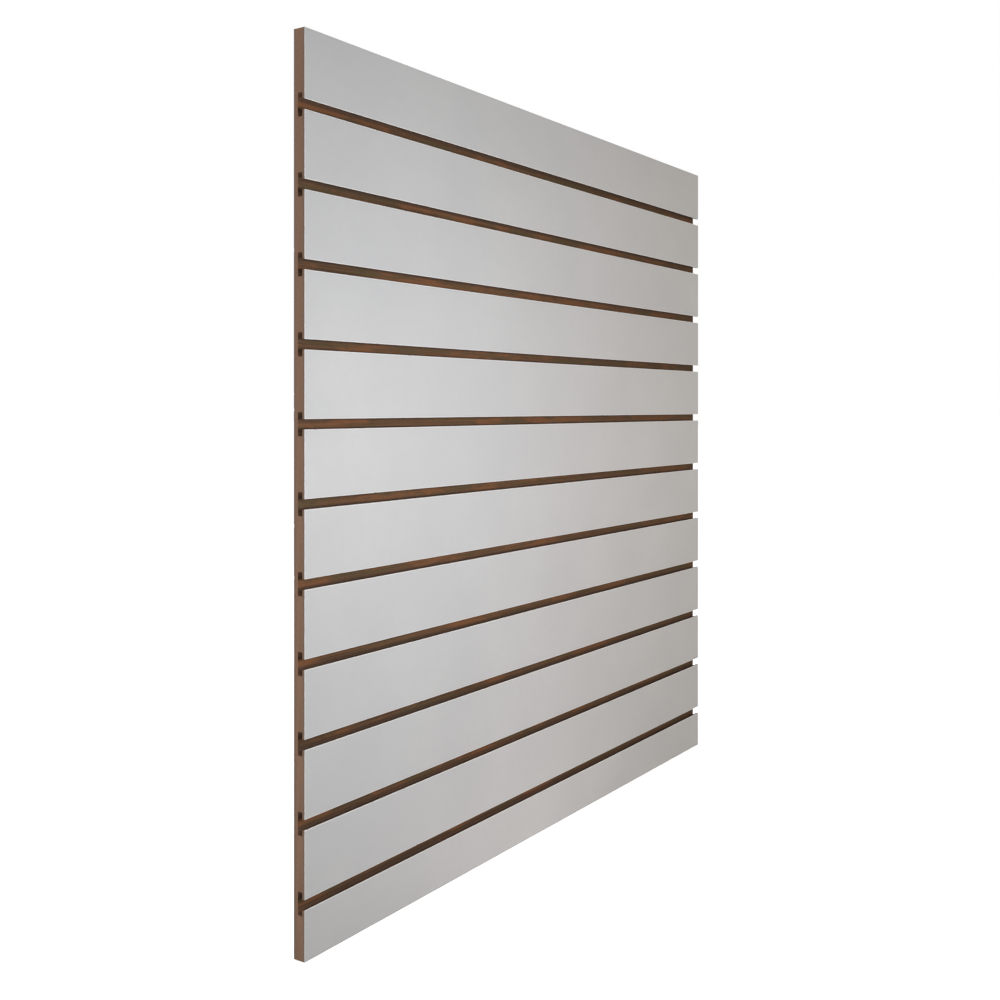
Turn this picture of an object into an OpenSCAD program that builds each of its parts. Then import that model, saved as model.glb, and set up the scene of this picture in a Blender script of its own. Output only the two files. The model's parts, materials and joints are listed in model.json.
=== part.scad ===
// Slatwall display panel: a grooved fibreboard core, faced on the front with one strip of
// melamine laminate per slat and balanced on the back with a single sheet. Its slots are
// T-shaped, so that hooks and shelf brackets drop in from the front or slide in from an end.
//
// The origin is the centre of the back face. +Y points into the wall, the slats face -Y,
// +Z is up, and the slots run along X. Millimetres.

/* [Panel] */
// Overall width, along the slots
panel_w = 1200; // [300:10:2440]
// Overall height, across the slots
panel_h = 1200; // [600:10:2440]
// Overall thickness, with the facing and the backing
panel_t = 19; // [15:0.5:25]

/* [Slots] */
// Distance from the centre of one slot to the centre of the next
slot_pitch = 102.8; // [75:0.1:155]
// Height of the open mouth between two slats
mouth_h = 13.3; // [9:0.1:16]
// Height that each lip hides of the undercut behind it
lip_reach = 8.7; // [5:0.1:10]
// Thickness of the lips, with the facing
lip_t = 4.2; // [3:0.1:6]
// Thickness left behind the undercut, with the backing
web_t = 7.3; // [4:0.1:8]

/* [End slats] */
// Height of the slat above the first slot
head_slat_h = 92; // [40:1:150]
// Least height of the slat below the last slot
foot_slat_min = 45; // [30:1:70]

/* [Laminates] */
// Thickness of the melamine facing on the slats
facing_t = 0.8; // [0.4:0.1:1.2]
// Thickness of the balancing sheet on the back
backing_t = 0.6; // [0.3:0.1:1.0]
// Width of the eased edge round the front of each facing strip
arris = 0.3; // [0.1:0.05:0.35]

/* [Hidden] */
slot_count = 1 + floor((panel_h - head_slat_h - mouth_h - foot_slat_min) / slot_pitch);
slat_count = slot_count + 1;
undercut_h = mouth_h + 2 * lip_reach;
undercut_d = panel_t - lip_t - web_t;
core_t = panel_t - facing_t - backing_t;

top_z = panel_h / 2;
core_front_y = -(backing_t + core_t);
cut_over = 1; // how far a cut runs past the face that it opens

// Slots and slats are numbered from the top, and slat i lies above slot i. The foot slat, the
// last, takes what is left of the height.
function slot_z(i) = top_z - head_slat_h - mouth_h / 2 - (i - 1) * slot_pitch;
function slat_top_z(i) = i > 1 ? slot_z(i - 1) - mouth_h / 2 : top_z;
function slat_bottom_z(i) = i < slat_count ? slot_z(i) + mouth_h / 2 : -top_z;
function facing_name(i) = str("facing_strip_", i < 10 ? "0" : "", i);

// A block that runs the panel's full width and stops over past each end.
module full_width_block(front_y, depth, bottom_z, height, over = 0) {
    translate([-panel_w / 2 - over, front_y, bottom_z])
        cube([panel_w + 2 * over, depth, height]);
}

// The room of one T-slot in the core: the mouth between the lips and the undercut behind them.
module slot_room(i) {
    full_width_block(core_front_y - cut_over, lip_t - facing_t + cut_over + undercut_d / 2,
                     slot_z(i) - mouth_h / 2, mouth_h, cut_over);
    full_width_block(-web_t - undercut_d, undercut_d,
                     slot_z(i) - undercut_h / 2, undercut_h, cut_over);
}

// Medium density fibreboard, sawn to size, with every slot routed from end to end.
module core_board() {
    color("#8a6a50")
        difference() {
            full_width_block(core_front_y, core_t, -top_z, panel_h);
            for (i = [1 : slot_count]) slot_room(i);
        }
}

// Balancing laminate over the whole back, which keeps the grooved board flat.
module backing_sheet() {
    color("#a98f73")
        full_width_block(-backing_t, backing_t, -top_z, panel_h);
}

// Outline of a facing strip seen from its end, with the two long front edges eased.
module facing_outline(height) {
    polygon([
        [0, 0], [0, height], [facing_t - arris, height], [facing_t, height - arris],
        [facing_t, arris], [facing_t - arris, 0]
    ]);
}

// Melamine facing of one slat. It is flush with the lips of the slots above and below it.
module facing_strip(i) {
    color("#e6e6e7")
        translate([-panel_w / 2, core_front_y, slat_bottom_z(i)])
            rotate([90, 0, 90])
                mirror([1, 0, 0])
                    linear_extrude(panel_w)
                        facing_outline(slat_top_z(i) - slat_bottom_z(i));
}

core_board();
backing_sheet();
for (i = [1 : slat_count])
    facing_strip(i);
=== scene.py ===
"""Slatwall display panel: the finish of every surface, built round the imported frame.

Metres. The origin is the centre of the back face, the slats face -Y, +Z is up, and the slots
run along X. Each piece takes its size and place from the CAD node that it stands for.
"""

import json
import math
import random

import bmesh
import bpy
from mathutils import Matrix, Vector
from mathutils.geometry import tessellate_polygon


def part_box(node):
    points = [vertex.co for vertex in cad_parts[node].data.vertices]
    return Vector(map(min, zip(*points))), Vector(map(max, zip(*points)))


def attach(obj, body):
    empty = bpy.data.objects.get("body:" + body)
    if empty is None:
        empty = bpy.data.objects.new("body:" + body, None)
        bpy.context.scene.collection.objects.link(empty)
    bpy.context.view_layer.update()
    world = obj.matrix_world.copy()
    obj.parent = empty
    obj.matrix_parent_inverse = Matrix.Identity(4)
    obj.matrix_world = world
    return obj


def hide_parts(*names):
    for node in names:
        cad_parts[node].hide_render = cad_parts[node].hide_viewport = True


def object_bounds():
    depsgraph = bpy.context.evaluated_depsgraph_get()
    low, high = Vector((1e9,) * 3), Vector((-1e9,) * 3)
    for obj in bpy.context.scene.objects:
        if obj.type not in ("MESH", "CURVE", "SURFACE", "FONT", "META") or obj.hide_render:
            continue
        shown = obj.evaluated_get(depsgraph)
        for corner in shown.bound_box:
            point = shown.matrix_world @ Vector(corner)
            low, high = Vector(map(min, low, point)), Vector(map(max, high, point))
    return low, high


MM = 0.001

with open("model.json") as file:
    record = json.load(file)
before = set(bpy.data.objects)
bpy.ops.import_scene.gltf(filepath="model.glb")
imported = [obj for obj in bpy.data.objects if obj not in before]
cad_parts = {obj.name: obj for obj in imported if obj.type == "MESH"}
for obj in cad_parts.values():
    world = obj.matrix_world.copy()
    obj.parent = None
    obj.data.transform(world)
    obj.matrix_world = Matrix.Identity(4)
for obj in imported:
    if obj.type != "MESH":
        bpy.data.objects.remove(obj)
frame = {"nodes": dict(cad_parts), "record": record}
cad_low, cad_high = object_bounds()
facing_names = sorted(name for name in frame["nodes"] if name.startswith("facing_strip_"))


# ---------------------------------------------------------------- camera, floor and light

CAMERA_PLACE = (-1.740, -1.085, 0.113)
CAMERA_HEADING = math.radians(33.85)  # from +X towards +Y, held level so that uprights stay upright
CAMERA_LENS = 43.28  # mm on a 36 mm sensor
CAMERA_RISE = -0.0935  # level view, with the frame moved down as a view camera does
FLOOR_HALF = 40.0


def make_camera():
    data = bpy.data.cameras.new("camera")
    data.lens = CAMERA_LENS
    data.shift_y = CAMERA_RISE
    camera = bpy.data.objects.new("camera", data)
    camera.location = CAMERA_PLACE
    camera.rotation_euler = (math.pi / 2, 0, CAMERA_HEADING - math.pi / 2)
    bpy.context.scene.collection.objects.link(camera)
    bpy.context.scene.camera = camera


def make_floor():
    """A plain pale floor at the height of the panel's bottom edge, with a faint glow of its own.

    The glow keeps it white under a sun weak enough not to bleach the panel's top edge.
    """
    mesh = bpy.data.meshes.new("floor")
    z = cad_low.z
    corners = [(-FLOOR_HALF, -FLOOR_HALF, z), (FLOOR_HALF, -FLOOR_HALF, z),
               (FLOOR_HALF, FLOOR_HALF, z), (-FLOOR_HALF, FLOOR_HALF, z)]
    mesh.from_pydata(corners, [], [(0, 1, 2, 3)])
    floor = bpy.data.objects.new("floor", mesh)
    bpy.context.scene.collection.objects.link(floor)
    material, nodes, links, shader = new_material("floor_paint")
    shader.inputs["Base Color"].default_value = (0.95, 0.95, 0.95, 1)
    shader.inputs["Roughness"].default_value = 1.0
    shader.inputs["Specular IOR Level"].default_value = 0.0
    shader.inputs["Emission Color"].default_value = (1, 1, 1, 1)
    shader.inputs["Emission Strength"].default_value = 0.5
    mesh.materials.append(material)
    floor.visible_diffuse = False
    floor.visible_glossy = False


def make_world():
    """Plain white all round, which lights the panel more softly than it looks to the camera."""
    world = bpy.data.worlds.new("studio")
    world.use_nodes = True
    nodes, links = world.node_tree.nodes, world.node_tree.links
    nodes.clear()
    seen = nodes.new("ShaderNodeBackground")
    seen.inputs["Color"].default_value = (1, 1, 1, 1)
    seen.inputs["Strength"].default_value = 1.0
    fill = nodes.new("ShaderNodeBackground")
    fill.inputs["Color"].default_value = (1.0, 0.98, 0.96, 1)
    fill.inputs["Strength"].default_value = 0.13
    path = nodes.new("ShaderNodeLightPath")
    mix = nodes.new("ShaderNodeMixShader")
    out = nodes.new("ShaderNodeOutputWorld")
    links.new(path.outputs["Is Camera Ray"], mix.inputs["Fac"])
    links.new(fill.outputs[0], mix.inputs[1])
    links.new(seen.outputs[0], mix.inputs[2])
    links.new(mix.outputs[0], out.inputs["Surface"])
    bpy.context.scene.world = world


def area_light(name, place, target, size, power, colour):
    """A round lamp, size metres across and power watts strong, turned from place to target."""
    data = bpy.data.lights.new(name, "AREA")
    data.shape = "DISK"
    data.size = size
    data.energy = power
    data.color = colour
    lamp = bpy.data.objects.new(name, data)
    lamp.location = place
    lamp.rotation_euler = (Vector(target) - Vector(place)).to_track_quat("-Z", "Y").to_euler()
    lamp.visible_camera = False
    bpy.context.scene.collection.objects.link(lamp)


def make_lights():
    """A cool key left of the middle, a warm fill to its right, and two weak pink bounces.

    One far lamp lights the left end and another the back. A sun overhead lights the floor.
    """
    area_light("key", (-0.45, -0.93, 0.08), (-0.45, 0, 0.08), 0.5, 4.4, (0.85, 0.92, 1.0))
    area_light("right_fill", (1.1, -2.2, 0.05), (0.3, 0, 0), 1.0, 21.0, (1.0, 0.92, 0.82))
    area_light("wall_bounce", (0.20, -0.75, -0.10), (0.20, 0, -0.10), 0.5, 0.28, (1.0, 0.72, 0.70))
    area_light("floor_bounce", (-0.05, -0.34, -0.70), (-0.05, 0, -0.66), 0.3, 0.24,
               (1.0, 0.90, 0.86))
    area_light("end_light", (-2.6, -0.3, -0.1), (-0.6, 0, 0), 0.8, 18.0, (1.0, 0.97, 0.96))
    area_light("rear_fill", (1.1, 2.4, 1.3), (0, 0, 0), 1.6, 75.0, (1, 1, 1))
    overhead = bpy.data.lights.new("overhead", "SUN")
    overhead.energy = 1.7
    overhead.angle = math.radians(12)
    lamp = bpy.data.objects.new("overhead", overhead)
    bpy.context.scene.collection.objects.link(lamp)


# ---------------------------------------------------------------- material helpers

def new_material(name):
    material = bpy.data.materials.new(name)
    material.use_nodes = True
    nodes, links = material.node_tree.nodes, material.node_tree.links
    nodes.clear()
    shader = nodes.new("ShaderNodeBsdfPrincipled")
    out = nodes.new("ShaderNodeOutputMaterial")
    links.new(shader.outputs["BSDF"], out.inputs["Surface"])
    return material, nodes, links, shader


class Graph:
    """Short names for the nodes that the procedural materials share."""

    def __init__(self, name):
        self.material, self.nodes, self.links, self.shader = new_material(name)
        self.place = self.nodes.new("ShaderNodeTexCoord").outputs["Object"]

    def stretched(self, scale):
        """Object coordinates with each axis multiplied: features per metre."""
        node = self.nodes.new("ShaderNodeMapping")
        node.inputs["Scale"].default_value = scale
        self.links.new(self.place, node.inputs["Vector"])
        return node.outputs["Vector"]

    def noise(self, scale, detail=3.0, roughness=0.55, distortion=0.0):
        node = self.nodes.new("ShaderNodeTexNoise")
        node.inputs["Scale"].default_value = 1.0
        node.inputs["Detail"].default_value = detail
        node.inputs["Roughness"].default_value = roughness
        node.inputs["Distortion"].default_value = distortion
        self.links.new(self.stretched(scale), node.inputs["Vector"])
        return node.outputs["Fac"]

    def ramp(self, value, low, high, at_low=0.0, at_high=1.0):
        """value from low..high to at_low..at_high, held beyond them."""
        node = self.nodes.new("ShaderNodeMapRange")
        node.interpolation_type = "SMOOTHSTEP"
        node.inputs["From Min"].default_value = low
        node.inputs["From Max"].default_value = high
        node.inputs["To Min"].default_value = at_low
        node.inputs["To Max"].default_value = at_high
        self.links.new(value, node.inputs["Value"])
        return node.outputs["Result"]

    def math(self, operation, first, second=None):
        node = self.nodes.new("ShaderNodeMath")
        node.operation = operation
        for socket, value in zip(node.inputs, (first, second)):
            if isinstance(value, (int, float)):
                socket.default_value = value
            elif value is not None:
                self.links.new(value, socket)
        return node.outputs["Value"]

    def mix(self, share, first, second, blend="MIX"):
        """Colours or sockets first and second, with share of the second."""
        node = self.nodes.new("ShaderNodeMix")
        node.data_type = "RGBA"
        node.blend_type = blend
        if isinstance(share, (int, float)):
            node.inputs["Factor"].default_value = share
        else:
            self.links.new(share, node.inputs["Factor"])
        for name, value in (("A", first), ("B", second)):
            socket = next(s for s in node.inputs if s.name == name and s.type == "RGBA")
            if isinstance(value, tuple):
                socket.default_value = (*value, 1)
            else:
                self.links.new(value, socket)
        return next(s for s in node.outputs if s.type == "RGBA")

    def axes(self, socket=None):
        node = self.nodes.new("ShaderNodeSeparateXYZ")
        self.links.new(socket or self.place, node.inputs[0])
        return node.outputs["X"], node.outputs["Y"], node.outputs["Z"]

    def attribute(self, name):
        node = self.nodes.new("ShaderNodeAttribute")
        node.attribute_name = name
        return node.outputs["Fac"]

    def bump(self, heights):
        """heights: (height socket, depth in metres) from the coarsest to the finest."""
        normal = None
        for height, depth in heights:
            node = self.nodes.new("ShaderNodeBump")
            node.inputs["Strength"].default_value = 1.0
            node.inputs["Distance"].default_value = depth
            self.links.new(height, node.inputs["Height"])
            if normal is not None:
                self.links.new(normal, node.inputs["Normal"])
            normal = node.outputs["Normal"]
        self.links.new(normal, self.shader.inputs["Normal"])

    def finish(self, colour, roughness):
        self.links.new(colour, self.shader.inputs["Base Color"])
        self.links.new(roughness, self.shader.inputs["Roughness"])
        return self.material


# ---------------------------------------------------------------- materials

def facing_material(front_y):
    """White melamine decor over brown core paper, with a faint pebble, handling marks, and painted
    highlight and shade along its edges.
    """
    g = Graph("white_melamine")
    cloudy = g.noise((5, 5, 5), detail=2)
    mottle = g.noise((60, 60, 60), detail=4)
    white = g.mix(g.ramp(cloudy, 0.35, 0.65), (0.690, 0.690, 0.694), (0.712, 0.711, 0.710))
    white = g.mix(g.ramp(mottle, 0.4, 0.7, 0.0, 0.25), white, (0.668, 0.668, 0.672))
    specks = g.ramp(g.noise((420, 420, 420), detail=1), 0.76, 0.80)
    white = g.mix(g.math("MULTIPLY", specks, 0.5), white, (0.40, 0.38, 0.35))
    near_edge = g.attribute("edge_closeness")
    grime = g.math("MULTIPLY", near_edge, g.ramp(g.noise((35, 35, 220), detail=3), 0.38, 0.7))
    white = g.mix(g.math("MULTIPLY", grime, 0.2), white, (0.50, 0.47, 0.43))
    # Painted highlight: the rims of the slots and the left end are painted paler, where their arrises
    # catch the light.
    painted_edge_highlight = g.math("MULTIPLY", g.ramp(near_edge, 0.62, 0.90), g.attribute("highlit_edge"))
    white = g.mix(g.math("MULTIPLY", painted_edge_highlight, 0.9), white, (0.930, 0.905, 0.890))
    # Painted shade: the other edges are painted darker, as arrises turned away from the light.
    painted_edge_shade = g.math("MULTIPLY", g.ramp(near_edge, 0.80, 1.0), g.attribute("shaded_edge"))
    white = g.mix(g.math("MULTIPLY", painted_edge_shade, 0.35), white, (0.44, 0.43, 0.41))
    x, y, z = g.axes()
    depth = g.math("SUBTRACT", y, front_y)
    buried = g.ramp(depth, 0.28 * MM, 0.40 * MM)
    fibres = g.noise((300, 2500, 900), detail=3)
    paper = g.mix(g.ramp(fibres, 0.35, 0.65), (0.270, 0.220, 0.175), (0.370, 0.305, 0.240))
    colour = g.mix(buried, white, paper)
    smudges = g.ramp(g.noise((9, 9, 14), detail=5, distortion=0.6), 0.3, 0.72, 0.36, 0.50)
    roughness = g.math("ADD", smudges, g.math("MULTIPLY", buried, 0.35))
    pebble = g.noise((850, 850, 850), detail=2)
    waves = g.noise((16, 16, 16), detail=1)
    g.bump([(waves, 0.12 * MM), (pebble, 0.012 * MM)])
    g.shader.inputs["Specular IOR Level"].default_value = 0.45
    return g.finish(colour, roughness)


def fibreboard_material(front_y, back_y):
    """Bare board: dense dark skins round a looser middle, fibre bundles, saw and router marks, with
    painted shade and light in the slots.
    """
    g = Graph("bare_fibreboard")
    x, y, z = g.axes()
    middle = (front_y + back_y) / 2
    half = (back_y - front_y) / 2
    off_middle = g.math("DIVIDE", g.math("ABSOLUTE", g.math("SUBTRACT", y, middle)), half)
    ragged = g.math("MULTIPLY", g.math("SUBTRACT", g.noise((40, 300, 40), detail=3), 0.5), 0.35)
    dense = g.ramp(g.math("ADD", off_middle, ragged), 0.35, 0.95)
    board = g.mix(dense, (0.400, 0.236, 0.156), (0.320, 0.232, 0.186))
    clumps = g.noise((260, 900, 260), detail=4, roughness=0.65)
    board = g.mix(g.ramp(clumps, 0.40, 0.68, 0.0, 0.55), board, (0.250, 0.160, 0.105))
    pale = g.ramp(g.noise((700, 2200, 700), detail=2), 0.60, 0.72, 0.0, 0.5)
    board = g.mix(pale, board, (0.50, 0.36, 0.25))
    dark = g.ramp(g.noise((1100, 3200, 1100), detail=2), 0.63, 0.74, 0.0, 0.7)
    board = g.mix(dark, board, (0.13, 0.08, 0.05))
    # In the slots the cutter's feed leaves fine streaks along X, and burnishes the surface.
    routed = g.attribute("routed")
    streaks = g.noise((3.5, 900, 900), detail=4, roughness=0.7)
    burnish_and_shade = g.mix(g.ramp(streaks, 0.38, 0.64), (0.072, 0.038, 0.018), (0.200, 0.098, 0.042))
    red_patches = g.ramp(g.noise((12, 60, 60), detail=3), 0.47, 0.60, 0.0, 0.7)
    burnish_and_shade = g.mix(red_patches, burnish_and_shade, (0.260, 0.098, 0.036))
    olive_patches = g.ramp(g.noise((9, 90, 90), detail=3, roughness=0.6), 0.50, 0.62, 0.0, 0.75)
    burnish_and_shade = g.mix(olive_patches, burnish_and_shade, (0.095, 0.072, 0.030))
    # Painted shade: each slot is painted darker towards the right.
    right_shade = g.ramp(x, -0.3, 0.6, 0.0, 0.45)
    burnish_and_shade = g.mix(right_shade, burnish_and_shade, (0.050, 0.036, 0.018))
    # Painted shade: the lips and the floor across from the mouth's edges are painted darker, fading to
    # the middle of the floor.
    painted_mouth_shade = g.ramp(g.attribute("painted_mouth_shade"), 0.15, 1.0)
    burnish_and_shade = g.mix(g.math("MULTIPLY", painted_mouth_shade, 0.8), burnish_and_shade, (0.060, 0.034, 0.022))
    colour = g.mix(g.math("MULTIPLY", routed, 0.92), board, burnish_and_shade)
    roughness = g.ramp(clumps, 0.3, 0.7, 0.74, 0.92)
    saw = g.noise((8, 8, 900), detail=2)
    g.bump([(clumps, 0.25 * MM), (streaks, 0.05 * MM), (saw, 0.03 * MM)])
    g.shader.inputs["Specular IOR Level"].default_value = 0.25
    return g.finish(colour, roughness)


def backing_material():
    """Resin-soaked brown balancing paper: drifting fibre, roller bands, and rubs from stacking."""
    g = Graph("balancing_paper")
    drift = g.noise((6, 6, 3.5), detail=4)
    colour = g.mix(g.ramp(drift, 0.35, 0.65), (0.400, 0.275, 0.172), (0.470, 0.330, 0.212))
    bands = g.ramp(g.noise((26, 1, 0.5), detail=3, roughness=0.65), 0.38, 0.68, 0.0, 0.30)
    colour = g.mix(bands, colour, (0.345, 0.232, 0.142))
    fibres = g.noise((480, 480, 110), detail=4, roughness=0.7)
    colour = g.mix(g.ramp(fibres, 0.42, 0.66, 0.0, 0.7), colour, (0.310, 0.208, 0.126))
    pale_fibres = g.ramp(g.noise((520, 520, 170), detail=3, roughness=0.65), 0.58, 0.72, 0.0, 0.55)
    colour = g.mix(pale_fibres, colour, (0.580, 0.430, 0.300))
    flecks = g.ramp(g.noise((300, 300, 140), detail=2), 0.68, 0.76)
    colour = g.mix(g.math("MULTIPLY", flecks, 0.7), colour, (0.180, 0.112, 0.066))
    # Panels are stacked face to back, so that grit draws long pale rubs across the paper.
    rub_lines = g.ramp(g.noise((2.2, 1, 210), detail=4, roughness=0.75, distortion=0.5), 0.62, 0.72)
    rub_areas = g.ramp(g.noise((2.5, 1, 4), detail=2), 0.50, 0.66)
    rubs = g.math("MULTIPLY", rub_lines, rub_areas)
    colour = g.mix(g.math("MULTIPLY", rubs, 0.5), colour, (0.600, 0.470, 0.345))
    worn = g.math("MULTIPLY", g.attribute("edge_closeness"), g.ramp(fibres, 0.3, 0.7, 0.3, 1.0))
    colour = g.mix(g.math("MULTIPLY", worn, 0.45), colour, (0.560, 0.430, 0.310))
    sheen = g.ramp(g.noise((18, 18, 5), detail=4), 0.3, 0.7, 0.46, 0.64)
    roughness = g.math("ADD", sheen, g.math("MULTIPLY", rubs, 0.15))
    cockle = g.noise((22, 22, 9), detail=2)
    g.bump([(cockle, 0.2 * MM), (fibres, 0.04 * MM), (rub_lines, 0.02 * MM)])
    g.shader.inputs["Specular IOR Level"].default_value = 0.35
    return g.finish(colour, roughness)


# ---------------------------------------------------------------- mesh helpers

SHARP_ANGLE = math.radians(32)  # edges that turn further than this are shaded sharp


def new_piece(name, bm, material, node):
    """Turns bm into a finished piece that stands for a CAD node and rides with the panel."""
    bmesh.ops.recalc_face_normals(bm, faces=bm.faces)
    mesh = bpy.data.meshes.new(name)
    bm.to_mesh(mesh)
    bm.free()
    mesh.materials.append(material)
    mesh.shade_smooth()
    mesh.set_sharp_from_angle(angle=SHARP_ANGLE)
    piece = bpy.data.objects.new(name, mesh)
    bpy.context.scene.collection.objects.link(piece)
    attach(piece, "root")
    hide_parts(node)
    return piece


ARRIS_STEPS = 4
FINE_STEP = 0.35 * MM  # between mesh lines at a small chip
LEAST_STEP = 0.2 * MM
CHIP_LINES = 4  # mesh lines on each side of the middle of a large chip
LEAST_CHIP = (0.5 * MM, 0.12 * MM)  # half width and depth
CHIP_MARGIN = 3 * MM  # kept free of chips at each corner
CHIP_RIPPLE = 9000  # radians per metre along the broken edge
ARRIS_HOLD = 0.75  # share of a chip's depth that is left where the arris ends
GLUE_HOLD = 0.3  # and at the glued face
RIM_LINES = (0.9 * MM, 1.9 * MM, 5.0 * MM)  # mesh lines along each edge, which the edge marks need


def spaced(low, high, step, chips):
    """Places from low to high about step apart, and closer by the ends and across each chip."""
    count = max(1, round((high - low) / step))
    places = {round(low + (high - low) * i / count, 6) for i in range(count + 1)}
    for margin in RIM_LINES:
        places |= {round(low + margin, 6), round(high - margin, 6)}
    for centre, width, depth in chips:
        gap = max(FINE_STEP, width / CHIP_LINES)
        turns = math.ceil(width / gap)
        for i in range(-turns, turns + 1):
            at = centre + i * gap
            if low + FINE_STEP < at < high - FINE_STEP:
                places.add(round(at, 6))
    ordered = sorted(places)
    kept = [ordered[0]]
    for at in ordered[1:-1]:
        if at - kept[-1] > LEAST_STEP:
            kept.append(at)
    if ordered[-1] - kept[-1] < LEAST_STEP:
        kept.pop()
    return kept + [ordered[-1]]


def random_chips(rng, low, high, count, widest, deepest):
    """Small breaks along an edge: (centre, half width, depth). Most are tiny."""
    chips = []
    for _ in range(count):
        size = rng.random() ** 2.2
        width = LEAST_CHIP[0] + size * (widest - LEAST_CHIP[0])
        depth = LEAST_CHIP[1] + size * (deepest - LEAST_CHIP[1]) * rng.uniform(0.6, 1.0)
        chips.append((rng.uniform(low + CHIP_MARGIN, high - CHIP_MARGIN), width, depth))
    return chips


def chip_depth(at, chips):
    """How far the edge is broken back at this place along it."""
    deepest = 0.0
    for centre, width, depth in chips:
        share = abs(at - centre) / width
        if share < 1:
            ripple = 0.85 + 0.15 * math.sin(at * CHIP_RIPPLE)
            deepest = max(deepest, depth * (1 - share ** 2.5) * ripple)
    return deepest


def laminate_sheet(low, high, outward, arris, chips, highlit_edges, edge_reach, grid_step):
    """A thin sheet in the XZ plane with rounded front edges and small chips.

    outward is -1 where the face looks along -Y and 1 where it looks along +Y. chips holds a list
    of breaks for each of the bottom, top, left and right edges. highlit_edges names the edges that
    take a painted highlight. The others take painted shade.
    """
    face_y = low.y if outward < 0 else high.y
    glue_y = high.y if outward < 0 else low.y
    x_places = spaced(low.x + arris, high.x - arris, grid_step, chips["bottom"] + chips["top"])
    z_places = spaced(low.z + arris, high.z - arris, grid_step, chips["left"] + chips["right"])
    columns, rows = len(x_places), len(z_places)
    bm = bmesh.new()
    closeness = bm.verts.layers.float.new("edge_closeness")
    pale = bm.verts.layers.float.new("highlit_edge")
    edge_shade = bm.verts.layers.float.new("shaded_edge")

    def mark(vertex, x, z):
        """How near the closest edge is, and whether that edge takes painted highlight or painted shade.
        """
        gaps = {"left": x - low.x, "right": high.x - x, "bottom": z - low.z, "top": high.z - z}
        nearest = min(gaps, key=gaps.get)
        vertex[closeness] = max(0.0, 1 - gaps[nearest] / edge_reach)
        vertex[pale] = float(nearest in highlit_edges)
        vertex[edge_shade] = 1 - vertex[pale]

    def edge_shift(column, row):
        """Inward shift of a boundary vertex, by the chips of the edges that it lies on."""
        shift = Vector((0, 0, 0))
        inner_column, inner_row = 0 < column < columns - 1, 0 < row < rows - 1
        if row == 0 and inner_column:
            shift.z += chip_depth(x_places[column], chips["bottom"])
        if row == rows - 1 and inner_column:
            shift.z -= chip_depth(x_places[column], chips["top"])
        if column == 0 and inner_row:
            shift.x += chip_depth(z_places[row], chips["left"])
        if column == columns - 1 and inner_row:
            shift.x -= chip_depth(z_places[row], chips["right"])
        return shift

    grid = []
    for column, x in enumerate(x_places):
        line = []
        for row, z in enumerate(z_places):
            place = Vector((x, face_y, z)) + edge_shift(column, row)
            vertex = bm.verts.new(place)
            mark(vertex, x, z)
            line.append(vertex)
        grid.append(line)
    for column in range(columns - 1):
        for row in range(rows - 1):
            bm.faces.new((grid[column][row], grid[column + 1][row],
                          grid[column + 1][row + 1], grid[column][row + 1]))

    boundary = [(c, 0) for c in range(columns)]
    boundary += [(columns - 1, r) for r in range(1, rows)]
    boundary += [(c, rows - 1) for c in range(columns - 2, -1, -1)]
    boundary += [(0, r) for r in range(rows - 2, 0, -1)]

    def ring(out, back, hold):
        """Boundary vertices moved out and back. hold is the share of each chip that they keep."""
        verts = []
        for column, row in boundary:
            side_x = (column == columns - 1) - (column == 0)
            side_z = (row == rows - 1) - (row == 0)
            place = Vector((x_places[column], face_y - outward * back, z_places[row]))
            place += Vector((side_x * out, 0, side_z * out)) + edge_shift(column, row) * hold
            vertex = bm.verts.new(place)
            mark(vertex, x_places[column], z_places[row])
            verts.append(vertex)
        return verts

    rings = [[grid[c][r] for c, r in boundary]]
    for step in range(1, ARRIS_STEPS + 1):
        turn = math.pi / 2 * step / ARRIS_STEPS
        hold = 1 - (1 - ARRIS_HOLD) * step / ARRIS_STEPS
        rings.append(ring(arris * math.sin(turn), arris * (1 - math.cos(turn)), hold))
    rings.append(ring(arris, abs(glue_y - face_y), GLUE_HOLD))
    for inner, outer in zip(rings, rings[1:]):
        for i in range(len(boundary)):
            j = (i + 1) % len(boundary)
            bm.faces.new((inner[i], inner[j], outer[j], outer[i]))
    bm.faces.new(rings[-1])
    return bm


# ---------------------------------------------------------------- pieces

FACING_ARRIS = 0.35 * MM
FACING_EDGE_REACH = 5 * MM  # how far the edge marks reach in
FACING_GRID = 12 * MM
BACKING_ARRIS = 0.25 * MM
BACKING_WEAR = 8 * MM
BACKING_GRID = 25 * MM


def make_facings():
    """One melamine strip per slat. The routed long edges chip more than the sawn ends."""
    material = facing_material(cad_low.y)
    for number, name in enumerate(facing_names):
        rng = random.Random(100 + number)
        low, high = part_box(name)
        chips = {
            "bottom": random_chips(rng, low.x, high.x, 12, 2.2 * MM, 0.8 * MM),
            "top": random_chips(rng, low.x, high.x, 12, 2.2 * MM, 0.8 * MM),
            "left": random_chips(rng, low.z, high.z, 5, 1.6 * MM, 0.6 * MM),
            "right": random_chips(rng, low.z, high.z, 5, 1.6 * MM, 0.6 * MM),
        }
        # Painted highlight on the slot rims and the left end, painted shade on the panel's outer top,
        # bottom and right edges.
        highlit_edges = {"bottom", "top", "left"}
        if name == facing_names[0]:
            highlit_edges.discard("top")
        if name == facing_names[-1]:
            highlit_edges.discard("bottom")
        bm = laminate_sheet(low, high, -1, FACING_ARRIS, chips, highlit_edges, FACING_EDGE_REACH, FACING_GRID)
        new_piece(name + "_finish", bm, material, name)


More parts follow.
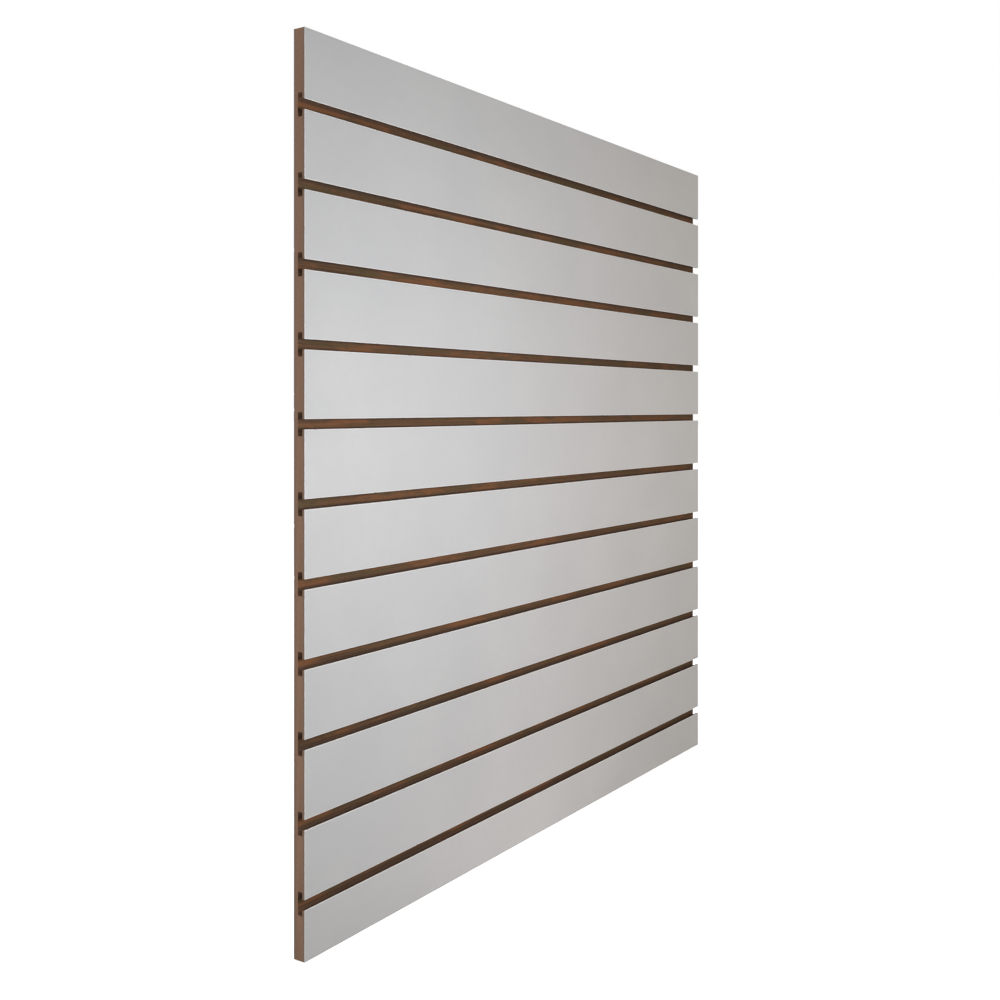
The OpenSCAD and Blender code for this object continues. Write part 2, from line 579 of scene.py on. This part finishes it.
def make_backing():
    """One balancing sheet over the whole back."""
    rng = random.Random(61)
    low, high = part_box("backing_sheet")
    chips = {edge: random_chips(rng, low.x, high.x, 10, 3.0 * MM, 1.0 * MM)
             for edge in ("bottom", "top", "left", "right")}
    bm = laminate_sheet(low, high, 1, BACKING_ARRIS, chips, set(), BACKING_WEAR, BACKING_GRID)
    new_piece("backing_sheet_finish", bm, backing_material(), "backing_sheet")


def opening_box(name):
    box = next(o["box_m"] for o in frame["record"]["physics"]["openings"] if o["name"] == name)
    return Vector(box[0]), Vector(box[1])


OPENING_CLEARANCE = 0.1 * MM  # the record's boxes keep this far from the board
CORNER_STEPS = 3
SAWN_RADIUS = 0.25 * MM  # of the board's outer corners
MOUTH_RADIUS = 0.30 * MM  # of the lips
UNDERCUT_RADIUS = 1.10 * MM  # left by the cutter in the undercut's corners
END_EASE = 0.25 * MM  # round the sawn ends
STATION_SPAN = 20 * MM  # between cross-sections of the board
UNDERCUT_MARKS = (0.45, 0.0)  # painted light: the shaded undercut corners take less of the slot colour and no painted shade, so they stay paler
# Lines along the floor of each slot: share of half the mouth from its middle, and the painted shade
# there.
FLOOR_LINES = (
    (1.0, 1.0), (0.8, 0.75), (0.5, 0.15), (0.0, 0.0), (-0.5, 0.15), (-0.8, 0.75), (-1.0, 1.0),
)


def rounded(corners):
    """A closed outline of (y, z, radius) corners with each one rounded by its radius."""
    outline = []
    count = len(corners)
    for i, (y, z, radius) in enumerate(corners):
        here = Vector((y, z))
        if not radius:
            outline.append(here)
            continue
        before = (Vector(corners[i - 1][:2]) - here).normalized()
        after = (Vector(corners[(i + 1) % count][:2]) - here).normalized()
        centre = here + (before + after) * radius
        start = here + before * radius - centre
        end = here + after * radius - centre
        for step in range(CORNER_STEPS + 1):
            share = step / CORNER_STEPS * math.pi / 2
            outline.append(centre + start * math.cos(share) + end * math.sin(share))
    return outline


def core_outline(low, high):
    """The board seen from its end, as (y, z) points, with two marks for each.

    The marks say how much of the routed slot colour the point takes, and how much painted shade.
    """
    corners = [(high.y, low.z, SAWN_RADIUS), (high.y, high.z, SAWN_RADIUS), (low.y, high.z, SAWN_RADIUS)]
    marks = [(0, 0)] * 3
    for number in range(1, len(facing_names)):
        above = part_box(facing_names[number - 1])[0].z
        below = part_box(facing_names[number])[1].z
        cut_low, cut_high = opening_box(f"slot_{number:02d}_undercut")
        lip_y = cut_low.y - OPENING_CLEARANCE
        floor_y = cut_high.y + OPENING_CLEARANCE
        cut_bottom = cut_low.z - OPENING_CLEARANCE
        cut_top = cut_high.z + OPENING_CLEARANCE
        corners += [
            (low.y, above, MOUTH_RADIUS), (lip_y, above, MOUTH_RADIUS),
            (lip_y, cut_top, UNDERCUT_RADIUS), (floor_y, cut_top, UNDERCUT_RADIUS),
        ]
        marks += [(1, 1)] * 2 + [UNDERCUT_MARKS] * 2
        middle, half_mouth = (above + below) / 2, (above - below) / 2
        for share, mouth_shade in FLOOR_LINES:
            corners.append((floor_y, middle + share * half_mouth, 0))
            marks.append((1, mouth_shade))
        corners += [
            (floor_y, cut_bottom, UNDERCUT_RADIUS), (lip_y, cut_bottom, UNDERCUT_RADIUS),
            (lip_y, below, MOUTH_RADIUS), (low.y, below, MOUTH_RADIUS),
        ]
        marks += [UNDERCUT_MARKS] * 2 + [(1, 1)] * 2
    corners.append((low.y, low.z, SAWN_RADIUS))
    marks.append((0, 0))
    steps = [CORNER_STEPS + 1 if radius else 1 for y, z, radius in corners]
    return rounded(corners), [mark for mark, count in zip(marks, steps) for _ in range(count)]


def make_core():
    """The board, with its T-slots routed from end to end and its corners eased."""
    low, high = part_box("core_board")
    outline, marks = core_outline(low, high)
    count = len(outline)
    twice_area = sum(outline[i - 1].x * outline[i].y - outline[i].x * outline[i - 1].y
                     for i in range(count))
    inward = -1 if twice_area > 0 else 1

    def eased(share):
        """The outline moved into the board along its own normals by a share of the ease."""
        moved = []
        for i in range(count):
            along = (outline[(i + 1) % count] - outline[i - 1]).normalized()
            moved.append(outline[i] + Vector((along.y, -along.x)) * END_EASE * share * inward)
        return moved

    bm = bmesh.new()
    # Kept on the corners of faces, so that a sawn end takes no marks from the slots that it meets.
    routed = bm.loops.layers.float.new("routed")
    painted_mouth_shade = bm.loops.layers.float.new("painted_mouth_shade")
    stations = [(low.x, 1.0), (low.x + 0.3 * END_EASE, 0.3), (low.x + END_EASE, 0.0)]
    steps = round((high.x - low.x) / STATION_SPAN)
    stations += [(low.x + (high.x - low.x) * i / steps, 0.0) for i in range(1, steps)]
    stations += [(high.x - END_EASE, 0.0), (high.x - 0.3 * END_EASE, 0.3), (high.x, 1.0)]
    rings = []
    for x, share in stations:
        ring = []
        for y, z in eased(share):
            ring.append(bm.verts.new((x, y, z)))
        rings.append(ring)
    for first, second in zip(rings, rings[1:]):
        for i in range(count):
            j = (i + 1) % count
            face = bm.faces.new((first[i], first[j], second[j], second[i]))
            in_slot = marks[i][0] > 0 and marks[j][0] > 0
            for loop, mark in zip(face.loops, (marks[i], marks[j], marks[j], marks[i])):
                loop[routed] = mark[0] * in_slot
                loop[painted_mouth_shade] = mark[1] * in_slot
    for end in (0, -1):
        shape = [Vector((v.co.y, v.co.z, 0)) for v in rings[end]]
        cap = [bm.verts.new(v.co) for v in rings[end]]
        for a, b, c in tessellate_polygon([shape]):
            bm.faces.new((cap[a], cap[b], cap[c]))
    bmesh.ops.remove_doubles(bm, verts=bm.verts, dist=1e-7)
    material = fibreboard_material(low.y, high.y)
    new_piece("core_board_finish", bm, material, "core_board")


# ---------------------------------------------------------------- scene

bpy.context.scene.view_settings.view_transform = "Standard"
make_camera()
make_world()
make_floor()
make_lights()
make_core()
make_backing()
make_facings()
